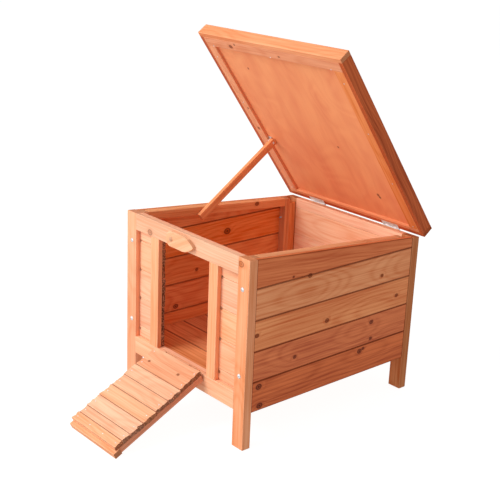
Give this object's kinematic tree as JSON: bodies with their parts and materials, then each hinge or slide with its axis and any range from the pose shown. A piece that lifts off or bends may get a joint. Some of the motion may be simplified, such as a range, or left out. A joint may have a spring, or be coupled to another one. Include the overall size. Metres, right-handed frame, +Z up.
{
  "type": "small wooden rabbit hutch",
  "caption": "Small pine rabbit hutch on legs with a plank-walled box, a sloping hinged lid on a prop stick, a doorway with a fold-down ramp, and a wooden turn button.",
  "frame": {"origin": "on the ground under the middle of the whole hutch, with the lid propped open and the ramp down", "axes": "+X to the right along the front, +Y from the front to the back, +Z up"},
  "size_m": [0.447, 0.7684, 0.8159],
  "materials": {
    "pine": "stained pine, satin",
    "pine_light": "stained pine, lighter boards, satin",
    "pine_deep": "stained pine, darker battens, satin",
    "steel": "zinc plated"
  },
  "bodies": {
    "box": {"front_post_left": "pine", "front_post_right": "pine", "back_post_left": "pine", "back_post_right": "pine", "front_top_rail": "pine_light", "front_bottom_rail": "pine_light", "door_jamb_left": "pine_light", "door_jamb_right": "pine_light", "front_header_board": "pine", "front_sill_board": "pine", "front_boards_left": "pine", "front_boards_right": "pine", "left_board_1": "pine", "left_board_2": "pine", "left_board_3": "pine", "left_board_4": "pine", "left_board_5": "pine", "right_board_1": "pine", "right_board_2": "pine", "right_board_3": "pine", "right_board_4": "pine", "right_board_5": "pine", "back_boards": "pine", "back_top_rail": "pine", "back_bottom_rail": "pine", "corner_battens_left": "pine_deep", "corner_battens_right": "pine_deep", "back_cleats": "pine_deep", "top_batten_left": "pine_deep", "top_batten_right": "pine_deep", "floor_bearers": "pine_deep", "floor_boards": "pine", "corner_screws": "steel", "lid_hinge_box_leaves": "steel", "lid_hinge_pins": "steel", "ramp_hinge_box_leaves": "steel", "ramp_hinge_pins": "steel", "box_hinge_screws": "steel", "turn_button_peg": "pine_light"},
    "lid": {"lid_fascia_front": "pine_light", "lid_fascia_back": "pine", "lid_fascia_left": "pine", "lid_fascia_right": "pine", "lid_batten_front": "pine", "lid_batten_back": "pine", "lid_batten_left": "pine", "lid_batten_right": "pine", "lid_ceiling": "pine", "lid_roof_boards": "pine", "lid_hinge_lid_leaves": "steel", "lid_hinge_screws": "steel", "prop_bracket": "steel", "prop_screw": "steel"},
    "prop": {"prop_stick": "pine_deep"},
    "turn_button": {"turn_button": "pine_light"},
    "ramp": {"ramp_planks": "pine_light", "ramp_battens": "pine_deep", "ramp_cross_battens": "pine_deep", "ramp_hinge_leaves": "steel", "ramp_hinge_screws": "steel"}
  },
  "joints": [
    {"name": "lid_hinge", "type": "hinge", "parent": "box", "child": "lid", "pos_m": [0, 0.3628, 0.37601], "axis": [1, 0, 0], "range_deg": [-41.5, 48.4]},
    {"name": "prop_pivot", "type": "hinge", "parent": "lid", "child": "prop", "pos_m": [-0.171, 0.24225, 0.53306], "axis": [1, 0, 0], "range_deg": [-88, 0]},
    {"name": "button_pivot", "type": "hinge", "parent": "box", "child": "turn_button", "pos_m": [-0.0365, -0.15671, 0.3985], "axis": [0, 1, 0], "range_deg": [0, 90]},
    {"name": "ramp_hinge", "type": "hinge", "parent": "box", "child": "ramp", "pos_m": [-0.0035, -0.14711, 0.119], "axis": [1, 0, 0], "range_deg": [-116.13, 0]}
  ]
}
